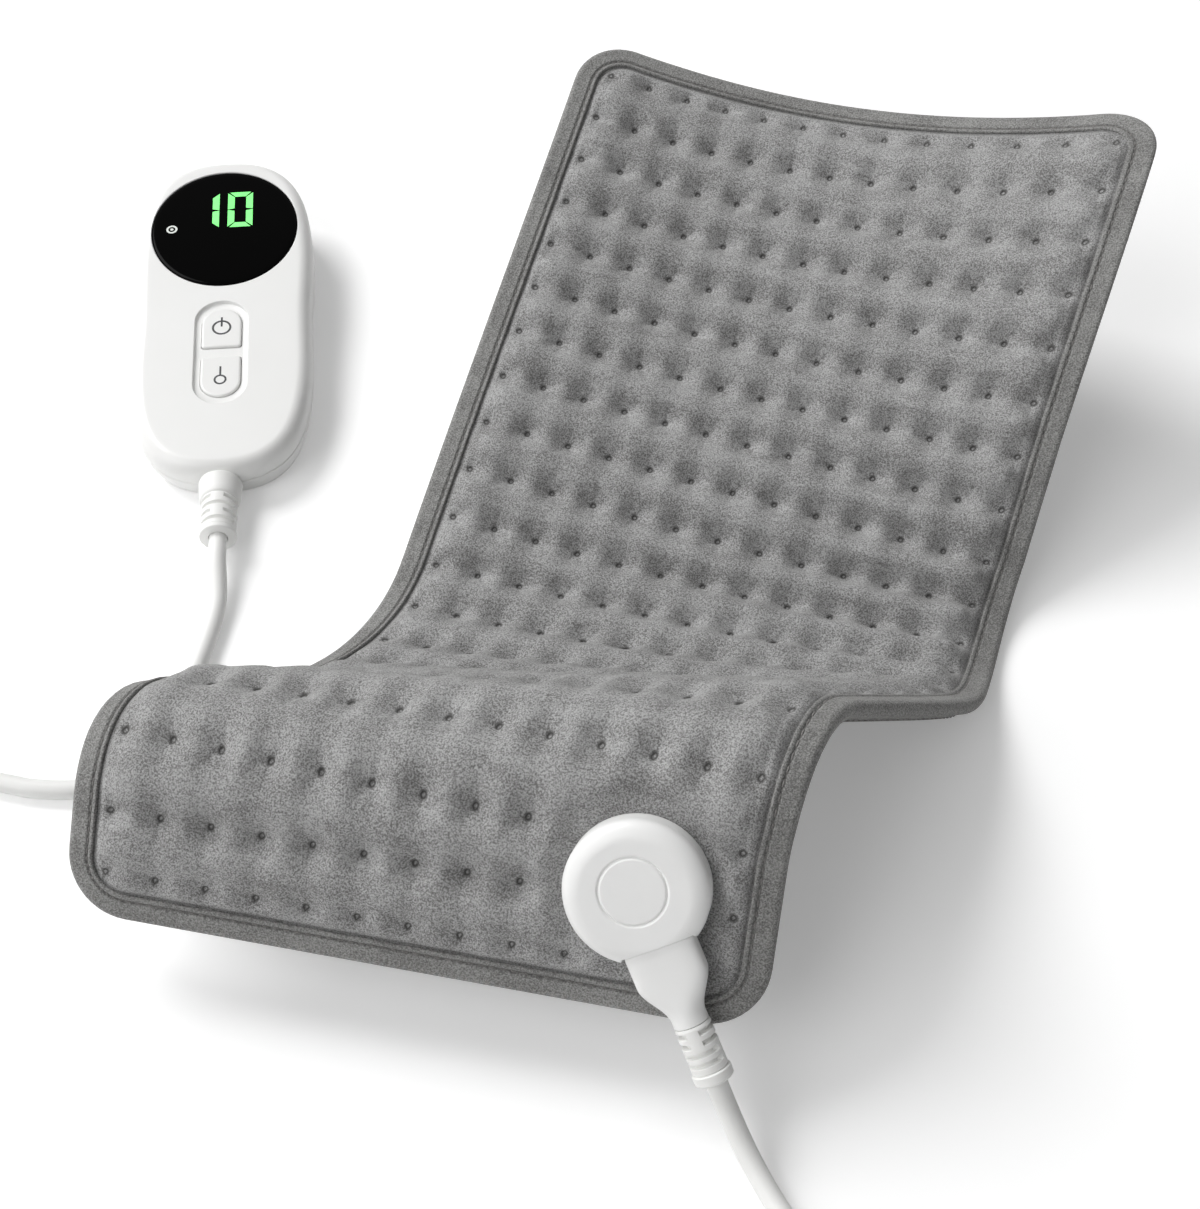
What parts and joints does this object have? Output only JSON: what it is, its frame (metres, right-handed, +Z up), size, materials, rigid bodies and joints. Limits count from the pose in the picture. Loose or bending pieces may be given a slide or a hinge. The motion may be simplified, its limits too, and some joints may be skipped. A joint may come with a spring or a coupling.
{
  "type": "heating pad with controller",
  "caption": "Quilted plush heating pad in a soft S-curve with a round lip socket, pull-out plug, one lead and a hand control with display and push buttons.",
  "frame": {"origin": "middle of the base of everything but the lead, on the table", "axes": "+Z up from the table, +Y from the pad's front lip to its raised back edge, +X to the right seen from the lip"},
  "size_m": [0.4853, 0.6086, 0.1346],
  "materials": {
    "plush": "short grey plush",
    "backing_cloth": "plain dark grey backing",
    "binding_tape": "smooth grey binding tape",
    "felt": "needled felt",
    "wire_sleeve": "silicone sleeved resistance wire",
    "steel": "zinc plated",
    "brass": "machined",
    "soft_cord": "soft white cord jacket",
    "display_gloss": "polished black display cover",
    "display_black": "display body",
    "light_guide": "clear light guide",
    "board": "solder mask",
    "dark_plastic": "moulded",
    "relay_blue": "moulded case",
    "fuse_ceramic": "ceramic fuse",
    "cream_plastic": "moulded",
    "white_plastic": "satin white moulding"
  },
  "bodies": {
    "pad": {"pad_top_cover": "plush", "pad_bottom_cover": "backing_cloth", "heating_felt": "felt", "heating_wire": "wire_sleeve", "edge_binding": "binding_tape", "socket_base": "white_plastic", "socket_cap": "white_plastic", "socket_contact_block": "cream_plastic", "socket_pin_left": "brass", "socket_pin_right": "brass", "socket_back_plate": "cream_plastic", "socket_screw_1": "steel", "socket_screw_2": "steel", "socket_screw_3": "steel", "pad_thermostat": "dark_plastic", "handset_front_shell": "white_plastic", "handset_rear_shell": "white_plastic", "display_lens": "display_gloss", "display_module": "display_black", "light_guide": "light_guide", "circuit_board": "board", "board_screw_1": "steel", "board_screw_2": "steel", "board_screw_3": "steel", "board_screw_4": "steel", "power_switch": "dark_plastic", "temperature_switch": "dark_plastic", "relay": "relay_blue", "capacitor": "dark_plastic", "fuse": "fuse_ceramic", "handset_strain_relief": "soft_cord", "cord_clamp": "dark_plastic", "lead": "soft_cord"},
    "plug": {"plug_lower_half": "white_plastic", "plug_upper_half": "white_plastic", "plug_nose": "cream_plastic", "plug_contact_left": "brass", "plug_contact_right": "brass", "plug_strain_relief": "soft_cord"},
    "power_button": {"power_button": "white_plastic"},
    "temperature_button": {"temperature_button": "white_plastic"}
  },
  "joints": [
    {"name": "plug_pull", "type": "slide", "parent": "pad", "child": "plug", "axis": [0.5, -0.5567, -0.6634], "range_m": [0, 0.015]},
    {"name": "power_button_press", "type": "slide", "parent": "pad", "child": "power_button", "axis": [-0.0248, 0.0836, -0.9962], "range_m": [0, 0.0008], "stiffness_N_per_m": 400, "springref_m": -0.001},
    {"name": "temperature_button_press", "type": "slide", "parent": "pad", "child": "temperature_button", "axis": [-0.0248, 0.0836, -0.9962], "range_m": [0, 0.0008], "stiffness_N_per_m": 400, "springref_m": -0.001}
  ]
}
